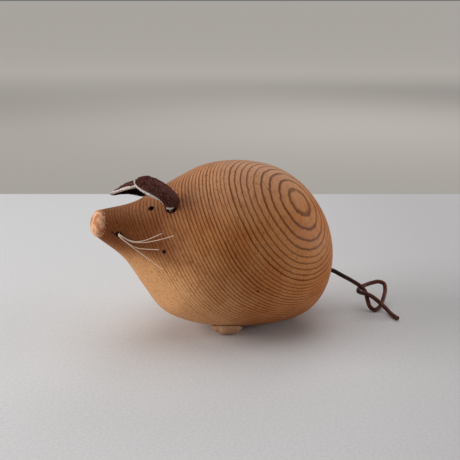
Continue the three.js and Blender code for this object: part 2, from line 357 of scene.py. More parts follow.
body = {
    "diameter": 74 * mm,
    "pitch": 15.0,
    "place": (21.37 * mm, 0.0, 35.79 * mm),
    "noseDome": 0.08,
    "domeRows": 40,
    "lineSteps": 600,
    "rows": 300,
    "sides": 241,
    "sharp": 38,  # edges steeper than this, in degrees, stay sharp
    "rings": [
        (0.00, -0.25, 0.00),
        (0.10, -0.20, 0.30),
        (0.33, -0.11, 0.67),
        (0.66, -0.03, 0.88),
        (1.00, 0.00, 0.98),
        (1.33, -0.01, 1.00),
        (1.61, -0.04, 0.98),
        (1.85, -0.07, 0.92),
        (2.07, -0.11, 0.81),
        (2.33, -0.09, 0.60),
        (2.66, -0.05, 0.33),
        (3.05, -0.02, 0.15),
    ],
}
holes = {
    "eye": {"along": 2.56, "turn": 32.5, "diameter": 1.7 * mm, "depth": 1.6 * mm},
    "whisker": {"along": 2.87, "turn": 99.0, "diameter": 2.4 * mm, "depth": 3.2 * mm},
    "ear": {"along": 2.39, "turn": 41.0, "diameter": 4.4 * mm, "depth": 3.6 * mm},
    "tail": {"diameter": 2.6 * mm, "depth": 6.3 * mm},
    "point": 0.3 * mm,
    "sides": 48,
    # Painted shade in the holes and pits, and the colour of the smudges at the mouth
    "smudgeAndHoleShade": (0.018, 0.007, 0.004),
    "holeShadeReach": 1.1 * mm,
    "smudges": ((2.905, 101), (2.935, 99)),
    "smudgeReach": 0.3 * mm,
}
pitDrill = {"width": 0.6, "depth": 0.5}  # shares of a pit's length and depth
pits = [
    {"along": 2.42, "turn": 95.0, "length": 1.5 * mm, "depth": 1.0 * mm},
    {"along": 1.41, "turn": 108.0, "length": 0.8 * mm, "depth": 0.4 * mm},
]
ballRadius = body["diameter"] / 2
pitch = math.radians(body["pitch"])
noseward = Vector((-math.cos(pitch), 0, math.sin(pitch)))
upward = Vector((math.sin(pitch), 0, math.cos(pitch)))
leftward = Vector((0, -1, 0))
bodyPlace = Vector(body["place"])


# The turner's line from the rump to the nose edge, which crosses the axis squarely at the rump
def makeBodyLine():
    rings = [np.array(ring) for ring in body["rings"]]
    pole, second = rings[0], rings[1]
    mirrored = np.array((second[0], 2 * pole[1] - second[1], -second[2]))
    beyond = 2 * rings[-1] - rings[-2]
    places = [mirrored, *rings, beyond]
    spans = len(places) - 1
    steps = body["lineSteps"]
    shares = [(1 + (spans - 2) * step / steps) / spans for step in range(steps + 1)]
    return np.array([smoothAt(places, share) for share in shares])


bodyLine = makeBodyLine()


def ringAlong(along):
    return [float(np.interp(along, bodyLine[:, 0], bodyLine[:, column])) for column in range(3)]


def skinPoint(along, turn, lift, side):
    place, rise, radius = ringAlong(along)
    angle = math.radians(turn) * side
    reach = radius * ballRadius + lift
    point = bodyPlace + noseward * ((place - 1) * ballRadius) + upward * (rise * ballRadius)
    return point + upward * (reach * math.cos(angle)) + leftward * (reach * math.sin(angle))


def skinNormal(along, turn, side):
    here = skinPoint(along, turn, 0, side)
    ahead = skinPoint(along + 0.01, turn, 0, side) - here
    around = skinPoint(along, turn + 1, 0, side) - here
    normal = ahead.cross(around)
    outward = skinPoint(along, turn, mm, side) - here
    return (normal if normal.dot(outward) > 0 else -normal).normalized()


# The wood's growth layers: rings round the tree's pith, which runs outside the mouse, above and
# behind its left shoulder. They are widest round the shoulder and narrower towards the head.
growth = {
    "pith": (51.1 * mm, -69.1 * mm, 101.7 * mm),
    "along": (-0.011, 0.679, 0.734),
    "firstRing": 66.2 * mm,
    "ring": 1.82 * mm,
    "innerRing": 1.4 * mm,
    "narrowFrom": 80.5 * mm,
    "narrowRing": 1.42 * mm,
    "fineFrom": 118 * mm,
    "fineRing": 1.05 * mm,
    "early": (0.52, 0.208, 0.066),
    "earlyWarm": (0.48, 0.165, 0.042),
    "late": (0.112, 0.023, 0.004),
    # Paler wood with fewer dark lines on the chest, partly a painted highlight on the lower front; also the
    # colour of pale flecks
    "chestPaleAndHighlight": (0.86, 0.46, 0.205),
    "chestPlace": (-20 * mm, 0, 24 * mm),
    "chestRange": (24 * mm, 50 * mm),
    # Painted sheen: the wood is paler towards the top of the body, between these heights
    "paintedSheen": (0.60, 0.32, 0.175),
    "paintedSheenRange": (50 * mm, 72 * mm),
    "endGrain": (0.80, 0.45, 0.27),
    "endPatch": (0.50, 0.20, 0.085),
    "endFrom": 3.035,
    "endSoft": 0.03,
    # Darker snout wood, partly painted shade: strongest on the snout's sides, weaker on top and none low
    # down
    "snoutDarkAndShade": (0.19, 0.050, 0.013),
    "snoutRange": (2.05, 2.80),
    "lowSide": (-13 * mm, -5 * mm),
    "highSide": (3 * mm, 10 * mm),
    "wander": 0.0011,
    "wanderPatches": 38,
    "quiver": 0.0004,
    "quiverPatches": 420,
    "patches": 90,
    "endPatches": 330,
    "grain": 1500,
    "fibreStretch": 0.09,
    "lateStart": 0.78,  # the share of a ring where its dark part starts
    "lateSpread": -0.14,
    "lateEnd": 0.94,
    "lateFade": (0.02, 0.12),
    "lateWidening": 0.16,
    "wideningRange": (74 * mm, 92 * mm),
}


def placeAlong(tree, coords):
    local = calcVector(tree, "SUBTRACT", coords, bodyPlace)
    ahead = calcVector(tree, "DOT_PRODUCT", local, tuple(noseward))
    return calc(tree, "ADD", calc(tree, "DIVIDE", ahead, ballRadius), 1.0)


# How many rings lie between the pith and a place in the wood
def ringCount(tree, radius):
    def stretch(start, sign, before, after):
        past = calc(tree, "MULTIPLY", calc(tree, "SUBTRACT", radius, start), sign)
        return calc(tree, "MULTIPLY", calc(tree, "MAXIMUM", past, 0.0), 1 / after - 1 / before)

    count = calc(tree, "DIVIDE", calc(tree, "SUBTRACT", radius, growth["firstRing"]), growth["ring"])
    narrow = stretch(growth["narrowFrom"], 1, growth["ring"], growth["narrowRing"])
    fine = stretch(growth["fineFrom"], 1, growth["narrowRing"], growth["fineRing"])
    count = calc(tree, "ADD", calc(tree, "ADD", count, narrow), fine)
    inner = stretch(growth["firstRing"], -1, growth["ring"], growth["innerRing"])
    return calc(tree, "SUBTRACT", count, inner)


def woodMaterial():
    material, tree, shader, coords = startMaterial("turnedSoftwood", 0.55, 0.14)
    along = Vector(growth["along"]).normalized()
    local = calcVector(tree, "SUBTRACT", coords, growth["pith"])
    lengthwise = calcVector(tree, "DOT_PRODUCT", local, tuple(along))
    across = calcVector(tree, "SUBTRACT", local, calcVector(tree, "SCALE", tuple(along), scale=lengthwise))
    radius = calcVector(tree, "LENGTH", across)
    slow = calc(tree, "SUBTRACT", noise(tree, coords, growth["wanderPatches"], 2), 0.5)
    slow = calc(tree, "MULTIPLY", slow, growth["wander"])
    quick = calc(tree, "SUBTRACT", noise(tree, coords, growth["quiverPatches"], 2), 0.5)
    quick = calc(tree, "MULTIPLY", quick, growth["quiver"])
    radius = calc(tree, "ADD", radius, calc(tree, "ADD", slow, quick))
    count = calc(tree, "ADD", ringCount(tree, radius), 30.0)
    number = calc(tree, "FLOOR", calc(tree, "ADD", count, 0.5))
    part = calc(tree, "FRACT", count)
    chance = addNode(tree, "ShaderNodeTexWhiteNoise", {"W": number}, noise_dimensions="1D").outputs["Value"]
    wider = smoothRange(tree, radius, *growth["wideningRange"], 0.0, growth["lateWidening"])
    start = calc(tree, "MULTIPLY_ADD", chance, growth["lateSpread"], growth["lateStart"])
    start = calc(tree, "SUBTRACT", start, wider)
    after = smoothRange(tree, part, *growth["lateFade"], 1.0, 0.0)
    late = calc(tree, "MAXIMUM", smoothRange(tree, part, start, growth["lateEnd"]), after)
    late = calc(tree, "MULTIPLY", late, calc(tree, "MULTIPLY_ADD", chance, 0.30, 0.70))
    patchy = noise(tree, coords, growth["patches"], 3)
    late = calc(tree, "MULTIPLY", late, smoothRange(tree, patchy, 0.25, 0.6, 0.8, 1.0))

    fibreAlong = calc(tree, "MULTIPLY", lengthwise, growth["fibreStretch"])
    stretched = calcVector(tree, "ADD", across, calcVector(tree, "SCALE", tuple(along), scale=fibreAlong))
    fibres = noise(tree, stretched, growth["grain"], 3, 0.65)
    speckle = noise(tree, coords, growth["grain"], 3, 0.6)

    ahead = placeAlong(tree, coords)
    # The chest: paler wood with fewer dark lines, partly a painted highlight
    chestSpot = calcVector(tree, "DISTANCE", coords, growth["chestPlace"])
    chestEdge = calc(tree, "ADD", chestSpot, calc(tree, "MULTIPLY", patchy, 0.012))
    chestPaleAndHighlight = smoothRange(tree, chestEdge, *growth["chestRange"], 1.0, 0.0)
    snoutEdge = calc(tree, "ADD", ahead, calc(tree, "MULTIPLY", patchy, 0.3))
    snoutDarkAndShade = smoothRange(tree, snoutEdge, *growth["snoutRange"])

    early = mixColour(tree, smoothRange(tree, patchy, 0.35, 0.65), growth["early"], growth["earlyWarm"])
    high = addNode(tree, "ShaderNodeSeparateXYZ", {0: coords}).outputs["Z"]
    # Painted sheen: paler wood towards the top, by height
    paintedSheen = smoothRange(tree, high, *growth["paintedSheenRange"], 0.0, 0.6)
    early = mixColour(tree, paintedSheen, early, growth["paintedSheen"])
    early = mixColour(tree, calc(tree, "MULTIPLY", chestPaleAndHighlight, 0.8), early, growth["chestPaleAndHighlight"])
    # Darker snout wood and painted shade, by height: none low down, strongest on the sides, weaker on top
    rise = calcVector(tree, "DOT_PRODUCT", calcVector(tree, "SUBTRACT", coords, bodyPlace), tuple(upward))
    lowSide = smoothRange(tree, rise, *growth["lowSide"], 0.0, 0.85)
    highSide = smoothRange(tree, rise, *growth["highSide"], 1.0, 0.65)
    side = calc(tree, "MULTIPLY", lowSide, highSide)
    early = mixColour(tree, calc(tree, "MULTIPLY", snoutDarkAndShade, side), early, growth["snoutDarkAndShade"])
    late = calc(tree, "MULTIPLY", late, calc(tree, "SUBTRACT", 1.0, calc(tree, "MULTIPLY", chestPaleAndHighlight, 0.5)))
    colour = mixColour(tree, late, early, growth["late"])
    colour = mixColour(tree, smoothRange(tree, fibres, 0.48, 0.75, 0.0, 0.65), colour, growth["late"])
    colour = mixColour(tree, smoothRange(tree, speckle, 0.55, 0.8, 0.0, 0.3), colour, growth["chestPaleAndHighlight"])
    ragged = calc(tree, "SUBTRACT", calc(tree, "ADD", speckle, patchy), 1.0)
    edge = calc(tree, "ADD", ahead, calc(tree, "MULTIPLY", ragged, 0.12))
    endFrom, endSoft = growth["endFrom"], growth["endSoft"]
    end = smoothRange(tree, edge, endFrom - endSoft, endFrom + endSoft)
    endPatches = smoothRange(tree, noise(tree, coords, growth["endPatches"], 3), 0.45, 0.62)
    endColour = mixColour(tree, endPatches, growth["endGrain"], growth["endPatch"])
    colour = mixColour(tree, end, colour, endColour)
    # Painted shade in the holes and pits, and smudges at the mouth
    colour = holeShadeAndSmudges(tree, coords, colour)
    tree.links.new(colour, shader.inputs["Base Color"])
    height = calc(tree, "ADD", calc(tree, "MULTIPLY", late, 0.6), calc(tree, "MULTIPLY", fibres, 0.4))
    addBump(tree, shader, height, 0.4, 0.00012)
    return material


# Painted shade in the drilled eyes, the whisker holes and two pits, a worm pit and a dark speck, and a
# smudge at the mouth
def holeShadeAndSmudges(tree, coords, colour):
    def spot(place, radius, soft):
        reach = calcVector(tree, "DISTANCE", coords, tuple(place))
        return smoothRange(tree, reach, radius, radius + soft, 1.0, 0.0)

    share = 0.0
    for side in (1, -1):
        for name in ("eye", "whisker"):
            hole = holes[name]
            place = skinPoint(hole["along"], hole["turn"], -0.5 * mm, side)
            share = calc(tree, "MAXIMUM", share, spot(place, holes["holeShadeReach"], 0.5 * mm))
        for along, turn in holes["smudges"]:
            found = spot(skinPoint(along, turn, 0, side), holes["smudgeReach"], 0.6 * mm)
            share = calc(tree, "MAXIMUM", share, calc(tree, "MULTIPLY", found, 0.85))
    for pit in pits:
        place = skinPoint(pit["along"], pit["turn"], -pit["depth"] / 2, 1)
        share = calc(tree, "MAXIMUM", share, spot(place, pit["length"] / 2, 0.35 * mm))
    return mixColour(tree, share, colour, holes["smudgeAndHoleShade"])


def makeBodyTree():
    tree, given, result = startTree("turnedBody", {
        "Line": "Object",
        "Rows": "Int",
        "Sides": "Int",
        "Ball radius": "Float",
        "Place": "Vector",
        "Finish": "Material",
    })
    line = addNode(tree, "GeometryNodeObjectInfo", {"Object": given["Line"]})
    grid = addNode(tree, "GeometryNodeMeshGrid", {
        "Size X": 1.0,
        "Size Y": 1.0,
        "Vertices X": given["Rows"],
        "Vertices Y": given["Sides"],
    })
    position = addNode(tree, "GeometryNodeInputPosition").outputs[0]
    spot = addNode(tree, "ShaderNodeSeparateXYZ", {0: position})
    share = calc(tree, "ADD", spot.outputs["X"], 0.5)
    angle = calc(tree, "MULTIPLY", calc(tree, "ADD", spot.outputs["Y"], 0.5), 2 * math.pi)
    values = {"Curves": line.outputs["Geometry"], "Factor": share}
    sample = addNode(tree, "GeometryNodeSampleCurve", values, mode="FACTOR", use_all_curves=True)
    ring = addNode(tree, "ShaderNodeSeparateXYZ", {0: sample.outputs["Position"]}).outputs
    reach = calc(tree, "MULTIPLY", ring["Z"], given["Ball radius"])
    ahead = calc(tree, "MULTIPLY", calc(tree, "SUBTRACT", ring["X"], 1.0), given["Ball radius"])
    rise = calc(tree, "MULTIPLY", ring["Y"], given["Ball radius"])
    high = calc(tree, "ADD", rise, calc(tree, "MULTIPLY", reach, calc(tree, "COSINE", angle)))
    left = calc(tree, "MULTIPLY", reach, calc(tree, "SINE", angle))
    place = calcVector(tree, "ADD", given["Place"], calcVector(tree, "SCALE", tuple(noseward), scale=ahead))
    place = calcVector(tree, "ADD", place, calcVector(tree, "SCALE", tuple(upward), scale=high))
    place = calcVector(tree, "ADD", place, calcVector(tree, "SCALE", tuple(leftward), scale=left))
    shaped = addNode(tree, "GeometryNodeSetPosition", {"Geometry": grid.outputs["Mesh"], "Position": place})
    values = {"Geometry": shaped.outputs[0], "Distance": mergeReach}
    merged = addNode(tree, "GeometryNodeMergeByDistance", values)
    endTree(tree, merged.outputs[0], given["Finish"], result)
    return tree


# A drill with a blunt point, from just outside a place to a depth inside it
def addDrill(work, place, outward, diameter, depth):
    radius = diameter / 2
    turn = outward.to_track_quat("Z", "Y")
    rings = [
        (radius * 0.05, -depth - holes["point"]),
        (radius, -depth),
        (radius, 0.0),
        (radius * 1.12, 0.35 * radius),
        (radius * 1.5, diameter),
    ]
    rows = []
    for reach, height in rings:
        row = []
        for side in range(holes["sides"]):
            angle = 2 * math.pi * side / holes["sides"]
            spot = Vector((reach * math.cos(angle), reach * math.sin(angle), height))
            row.append(work.verts.new(place + turn @ spot))
        rows.append(row)
    for low, high in zip(rows, rows[1:]):
        for side in range(holes["sides"]):
            after = (side + 1) % holes["sides"]
            work.faces.new((low[side], low[after], high[after], high[side]))
    work.faces.new(list(reversed(rows[0])))
    work.faces.new(rows[-1])


def makeDrills(material):
    work = bmesh.new()
    for side in (1, -1):
        for name in ("eye", "whisker", "ear"):
            hole = holes[name]
            place = skinPoint(hole["along"], hole["turn"], 0, side)
            outward = skinNormal(hole["along"], hole["turn"], side)
            addDrill(work, place, outward, hole["diameter"], hole["depth"])
    for pit in pits:
        place = skinPoint(pit["along"], pit["turn"], 0, 1)
        outward = skinNormal(pit["along"], pit["turn"], 1)
        addDrill(work, place, outward, pit["length"] * pitDrill["width"], pit["depth"] * pitDrill["depth"])
    tailHole = holes["tail"]
    addDrill(work, Vector(tail["exit"]), Vector((1, 0, 0)), tailHole["diameter"], tailHole["depth"])
    mesh = bpy.data.meshes.new("drills")
    work.to_mesh(mesh)
    work.free()
    turnOutwards(mesh)
    mesh.materials.append(material)
    return linkNew("drills", mesh)


def makeBody():
    dome = np.linspace(0, math.pi / 2, body["domeRows"])[1:]
    edge = bodyLine[-1]
    domeAlong = edge[0] + body["noseDome"] * np.sin(dome)
    cap = np.stack([domeAlong, np.full(len(dome), edge[1]), edge[2] * np.cos(dome)], 1)
    line = makePath("bodyLine", np.vstack([bodyLine, cap]))
    wood = woodMaterial()
    settings = {
        "Line": line,
        "Rows": body["rows"],
        "Sides": body["sides"],
        "Ball radius": ballRadius,
        "Place": bodyPlace,
        "Finish": wood,
    }
    piece = growPiece("turnedBody", makeBodyTree(), settings)
    removeObject(line)
    turnOutwards(piece.data)
    drills = makeDrills(wood)
    cut = piece.modifiers.new("drill", "BOOLEAN")
    cut.operation = "DIFFERENCE"
    cut.solver = "EXACT"
    cut.object = drills
    made = meshFrom(piece)
    piece.modifiers.clear()
    piece.data = made
    removeObject(drills)
    made.shade_smooth()
    made.set_sharp_from_angle(angle=math.radians(body["sharp"]))
    settle(piece, "wood", "body")
    return piece


bodyPiece = makeBody()
print("body made,", len(bodyPiece.data.polygons), "faces")

# Feet: a short stud with a domed end and a small flat, cut to the belly above it

foot = {
    "diameter": 15 * mm,
    "flat": 7 * mm,
    "spread": 16.4 * mm,
    "centre": 2.2 * mm,
    "domeShare": 0.62,
    "gap": 0.3 * mm,
    "sides": 96,
    "domeRows": 24,
    "topRows": 16,
    "least": 0.05 * mm,
    "sharp": 50,
    "pale": (0.66, 0.39, 0.225),
    "brown": (0.42, 0.21, 0.105),
    "streak": (0.25, 0.105, 0.045),
    "patches": 260,
    "grain": 560,
}


def footMaterial():
    material, tree, shader, coords = startMaterial("paleWood", 0.6, 0.3)
    local = addNode(tree, "ShaderNodeMapping", {"Vector": coords, "Scale": (1.0, 1.0, 0.15)}).outputs[0]
    rings = noise(tree, local, foot["grain"], 3, 0.6)
    broad = noise(tree, coords, foot["patches"], 3)
    colour = mixColour(tree, smoothRange(tree, broad, 0.3, 0.7), foot["pale"], foot["brown"])
    colour = mixColour(tree, smoothRange(tree, rings, 0.48, 0.68, 0.0, 0.75), colour, foot["streak"])
    tree.links.new(colour, shader.inputs["Base Color"])
    addBump(tree, shader, rings, 0.3, 0.00012)
    return material


def makeFoot(name, node, side, skin, material):
    radius = foot["diameter"] / 2
    flatRadius = foot["flat"] / 2
    flatAngle = math.asin(flatRadius / radius)
    centre = Vector((foot["centre"], -side * foot["spread"] / 2, 0))
    domeHeight = radius * foot["domeShare"]
    profile = [(flatRadius * share, 0.0) for share in (0.25, 0.5, 0.75)]
    for row in range(foot["domeRows"] + 1):
        angle = flatAngle + (math.pi / 2 - flatAngle) * row / foot["domeRows"]
        rise = (math.cos(flatAngle) - math.cos(angle)) / math.cos(flatAngle)
        profile.append((radius * math.sin(angle), domeHeight * rise))
    work = bmesh.new()

    def spoke(turn):
        angle = 2 * math.pi * turn / foot["sides"]
        return Vector((math.cos(angle), math.sin(angle), 0))

    def topAt(place):  # just under the belly, found from below the table
        hit = skin.ray_cast(Vector((place.x, place.y, -0.01)), Vector((0, 0, 1)))
        return hit[0].z - foot["gap"]

    rows = []
    for reach, height in profile:
        row = []
        for turn in range(foot["sides"]):
            place = centre + spoke(turn) * reach
            place.z = min(height, topAt(place))
            row.append(work.verts.new(place))
        rows.append(row)
    for step in range(foot["topRows"]):
        reach = radius * (1 - step / foot["topRows"])
        row = []
        for turn in range(foot["sides"]):
            place = centre + spoke(turn) * reach
            place.z = max(topAt(place), foot["least"])
            row.append(work.verts.new(place))
        rows.append(row)
    for low, high in zip(rows, rows[1:]):
        for turn in range(foot["sides"]):
            after = (turn + 1) % foot["sides"]
            work.faces.new((low[turn], low[after], high[after], high[turn]))
    bottom = work.verts.new(centre)
    top = work.verts.new((centre.x, centre.y, topAt(centre)))
    for turn in range(foot["sides"]):
        after = (turn + 1) % foot["sides"]
        work.faces.new((bottom, rows[0][after], rows[0][turn]))
        work.faces.new((top, rows[-1][turn], rows[-1][after]))
    mesh = bpy.data.meshes.new(name)
    work.to_mesh(mesh)
    work.free()
    turnOutwards(mesh)
    mesh.materials.append(material)
    mesh.shade_smooth()
    mesh.set_sharp_from_angle(angle=math.radians(foot["sharp"]))
    settle(linkNew(name, mesh), "pale_wood", node)


bodySkin = BVHTree.FromObject(bodyPiece, bpy.context.evaluated_depsgraph_get())
paleWood = footMaterial()
makeFoot("leftFoot", "foot_left", 1, bodySkin, paleWood)
makeFoot("rightFoot", "foot_right", -1, bodySkin, paleWood)
print("feet made")

# Ears: a leather petal each, rolled into its hole at the root. Each edge is a line of places in
# millimetres from the root to the tip. Curl is how far round, in radians, the petal bends between them.

ear = {
    "thickness": 1.1 * mm,
    "gap": 0.3 * mm,
    "stem": 0.9 * mm,
    "rootChord": 2.4 * mm,
    "rows": 170,
    "columns": 60,
    "edgeRows": 8,
    "nap": 0.36 * mm,
    "napGrain": 1300,
    "pitStart": 1.0 * mm,
    "pitEnd": 1.9 * mm,
    "clear": 0.15 * mm,
    "leastWidth": 0.4 * mm,
    "slopeStep": 0.002,
    "crowding": 1.3,  # rows lie closer together towards the tip
    "bulge": 0.25,
    "rimShare": 0.8,
    "pitShare": (0.04, 0.34),
    "pitDip": 0.25 * mm,
    "tipFrom": 0.985,
    "tipSoft": 0.01,
    "sunk": 0.5 * mm,
    "sunkNap": 0.2,
    "napDark": (0.060, 0.015, 0.010),
    "napBrown": (0.125, 0.036, 0.026),
    "napTips": (0.30, 0.14, 0.115),
    # Near-black inner face, also the painted shade in the pit at the rolled root
    "undersideAndPitShade": (0.012, 0.008, 0.008),
    "cutPale": (0.86, 0.80, 0.76),
    "cutShade": (0.62, 0.54, 0.50),
    "patches": 420,
    "grain": 1700,
    "left": {
        "outer": [(-27.9, -12.8, 62.6), (-30.3, -14.8, 64.9), (-32.7, -15.6, 66.7), (-34.8, -15.2, 68.1),
                  (-36.6, -13.8, 69.1), (-38.1, -12.0, 70.1), (-39.0, -10.4, 71.1), (-39.3, -9.6, 72.2)],
        "inner": [(-23.3, -13.8, 62.0), (-21.8, -14.1, 63.3), (-21.0, -12.3, 64.4), (-22.5, -9.9, 67.2),
                  (-26.1, -8.0, 70.7), (-31.1, -7.6, 73.6), (-36.2, -8.6, 74.5), (-38.9, -9.4, 73.5)],
        "across": (5.2, 0.8, -2.6),
        "paleSide": 0,
        "rim": 2.0 * mm,
        "bevel": 0.5 * mm,
        "curl": [4.4, 3.1, 2.1, 1.8, 1.6, 1.4, 1.3, 1.2, 1.1, 0.8],
    },
    "right": {
        "outer": [(-27.2, 12.0, 60.8), (-27.9, 16.0, 60.0), (-29.5, 18.4, 60.3), (-32.4, 19.0, 61.0),
                  (-35.8, 18.7, 61.5), (-39.1, 17.6, 61.8), (-41.4, 16.2, 62.2), (-42.3, 15.4, 62.7)],
        "inner": [(-26.9, 9.3, 62.9), (-29.1, 8.6, 65.4), (-31.8, 8.6, 66.3), (-34.5, 9.2, 66.1),
                  (-37.3, 11.0, 65.2), (-39.7, 13.2, 64.1), (-41.6, 14.6, 63.4), (-42.3, 15.1, 63.0)],
        "across": (2.0, -4.0, 2.0),
        "paleSide": 1,
        "rim": 0.2 * mm,
        "bevel": 0.9 * mm,
        "curl": [4.2, 3.6, 2.8, 2.5, 2.5, 2.4, 2.2, 1.9, 1.6, 1.0],
    },
}


def earMaterial():
    material, tree, shader, coords = startMaterial("earLeather", 0.88, 0.2)
    edge = addNode(tree, "ShaderNodeAttribute", attribute_name="cutEdge").outputs["Fac"]
    under = addNode(tree, "ShaderNodeAttribute", attribute_name="underFaceAndPitShade").outputs["Fac"]
    nap = noise(tree, coords, ear["grain"], 4, 0.7)
    broad = noise(tree, coords, ear["patches"], 4, 0.6)
    colour = mixColour(tree, smoothRange(tree, broad, 0.35, 0.68), ear["napDark"], ear["napBrown"])
    colour = mixColour(tree, smoothRange(tree, nap, 0.50, 0.72, 0.0, 0.8), colour, ear["napTips"])
    # Near-black inner face, and painted shade in the pit at the rolled root
    colour = mixColour(tree, under, colour, ear["undersideAndPitShade"])
    ragged = calc(tree, "ADD", edge, calc(tree, "MULTIPLY", calc(tree, "SUBTRACT", broad, 0.5), 0.5))
    pale = smoothRange(tree, ragged, 0.45, 0.7)
    paleColour = mixColour(tree, smoothRange(tree, nap, 0.35, 0.7), ear["cutPale"], ear["cutShade"])
    tree.links.new(mixColour(tree, pale, colour, paleColour), shader.inputs["Base Color"])
    addBump(tree, shader, nap, 0.9, 0.0004)
    return material


def blendList(values, share):
    return float(np.interp(share, np.linspace(0, 1, len(values)), values))


# Moves the places that touch the wood, or that lie in it, to just outside it
def keepClear(mesh, skin, gap):
    for _ in range(3):
        for vert in mesh.vertices:
            near, normal, _, distance = skin.find_nearest(vert.co)
            if distance < 5 * mm and (vert.co - near).dot(normal) < gap:
                vert.co = near + normal * (gap + mergeReach)


def makeEar(name, node, side, shape, skin, material):
    hole = holes["ear"]
    mouth = skinPoint(hole["along"], hole["turn"], 0, side)
    out = skinNormal(hole["along"], hole["turn"], side)
    chord = Vector(shape["across"])
    chord = (chord - out * chord.dot(out)).normalized() * (ear["rootChord"] / 2)
    sink = chord.cross(out) * (side / math.tan(shape["curl"][0] / 2))
    roots = [mouth + sink + out * lift for lift in (ear["gap"] - hole["depth"], ear["stem"])]

    def edgeLine(spots, shift):
        start = [list(root + shift) for root in roots]
        return np.array(start + [[value * mm for value in spot] for spot in spots])

    outer = edgeLine(shape["outer"], -chord)
    inner = edgeLine(shape["inner"], chord)
    middle = (outer + inner) / 2
    places, edges, underFacesAndPitShade, bare = [], [], [], []
    for row in range(ear["rows"]):
        share = 1 - (1 - row / ear["rows"]) ** ear["crowding"]
        start, end = Vector(smoothAt(outer, share)), Vector(smoothAt(inner, share))
        centre = (start + end) / 2
        before, after = max(share - ear["slopeStep"], 0), min(share + ear["slopeStep"], 1)
        along = Vector(smoothAt(middle, after) - smoothAt(middle, before))
        width = max((end - start).length, ear["leastWidth"])
        sideways = (end - start).normalized()
        outward = sideways.cross(along).normalized() * side
        curl = blendList(shape["curl"], share)
        curlRadius = width / (2 * math.sin(curl / 2))
        base = curlRadius * math.cos(curl / 2)
        thick = min(ear["thickness"], 0.8 * curlRadius)

        def at(angle, depth):
            reach = curlRadius - depth
            rise = outward * (reach * math.cos(angle) - base)
            return centre + sideways * (reach * math.sin(angle)) + rise

        half = ear["columns"]
        lift = (centre - mouth).dot(out)
        ring = []
        for column in range(half + 1):
            reach = abs(column - half * shape["paleSide"]) / half * curl * curlRadius
            pale = 1.0 if reach < shape["bevel"] else 0.0
            paintedShade = 0.0
            if 0 < lift < shape["rim"] and column < ear["rimShare"] * half:
                pale = 1.0
                # Painted shade: a near-black pit, dipped a little, where the rolled root's open end lies in
                # shade
                inPit = ear["pitShare"][0] * half < column < ear["pitShare"][1] * half
                if inPit and ear["pitStart"] < lift < ear["pitEnd"]:
                    pale, paintedShade = 0.0, 1.0
            ring.append((at(curl * (column / half - 0.5), ear["pitDip"] * paintedShade), pale, 0.9 * paintedShade))
        bends = [math.pi * step / ear["edgeRows"] for step in range(1, ear["edgeRows"])]
        for bend in bends:
            bulge = ear["bulge"] * thick * math.sin(bend) / curlRadius
            ring.append((at(curl / 2 + bulge, thick * (1 - math.cos(bend)) / 2), 1.0, bend / math.pi))
        ring += [(at(curl * (0.5 - column / half), thick), 0.0, 1.0) for column in range(half + 1)]
        for bend in bends:
            bulge = ear["bulge"] * thick * math.sin(bend) / curlRadius
            ring.append((at(-curl / 2 - bulge, thick * (1 + math.cos(bend)) / 2), 1.0, 1 - bend / math.pi))
        rim = min(max((share - ear["tipFrom"]) / ear["tipSoft"], 0), 1)
        places += [place for place, _, _ in ring]
        edges += [max(edge, rim) for _, edge, _ in ring]
        underFacesAndPitShade += [under for _, _, under in ring]
        bare += [ear["sunkNap"] if lift < ear["sunk"] else 1.0] * len(ring)
    count = len(ring)
    faces = []
    for row in range(ear["rows"] - 1):
        for corner in range(count):
            after = (corner + 1) % count
            a, b = row * count + corner, row * count + after
            faces.append((a, b, b + count, a + count))
    last = (ear["rows"] - 1) * count
    faces.append(tuple(reversed(range(count))))
    faces.append(tuple(range(last, last + count)))
    mesh = bpy.data.meshes.new(name)
    mesh.from_pydata([tuple(place) for place in places], [], faces)
    mesh.update()
    for label, values in (("cutEdge", edges), ("underFaceAndPitShade", underFacesAndPitShade)):
        layer = mesh.attributes.new(label, "FLOAT", "POINT")
        layer.data.foreach_set("value", values)
    turnOutwards(mesh, merged=False)
    normals = [vert.normal.copy() for vert in mesh.vertices]
    for vert, normal, under, share in zip(mesh.vertices, normals, underFacesAndPitShade, bare):
        place = vert.co * ear["napGrain"]
        rough = spaceNoise.noise(place) + 0.6 * spaceNoise.noise(place * 2.3)
        vert.co += normal * (rough * ear["nap"] * share * (1 - 0.75 * under))
    keepClear(mesh, skin, ear["clear"])
    mesh.materials.append(material)
    mesh.shade_smooth()
    settle(linkNew(name, mesh), "ear_leather", node)


earLeather = earMaterial()
makeEar("leftEar", "ear_left", 1, ear["left"], bodySkin, earLeather)
makeEar("rightEar", "ear_right", -1, ear["right"], bodySkin, earLeather)
print("ears made")

# Whiskers: stiff bristles. Each route gives along, turn and lift off the cheek in millimetres.

whisker = {
    "diameter": 0.25 * mm,
    "pitch": 0.32 * mm,
    "steps": 48,
    "sides": 10,
    "rootGap": 0.6 * mm,
    "taperAt": [0, 0.6, 1],
    "taper": [1, 0.95, 0.7],
    "pale": (0.90, 0.76, 0.62),
    "shaded": (0.76, 0.58, 0.44),
    "patches": 500,
    "grain": 3000,
    "routes": [
        [(2.75, 100, 1.5), (2.66, 92.6, 2.4), (2.5, 74.5, 3.4)],
        [(2.75, 101.8, 1.5), (2.65, 94.4, 2.4), (2.54, 84.5, 3.1), (2.4, 74.5, 3.6)],
        [(2.76, 108, 1.5), (2.69, 107.4, 2.2), (2.5, 94, 3.2)],
        [(2.755, 110, 1.5), (2.66, 112, 2.2), (2.5, 112.5, 3), (2.42, 112, 3.5)],
    ],
}


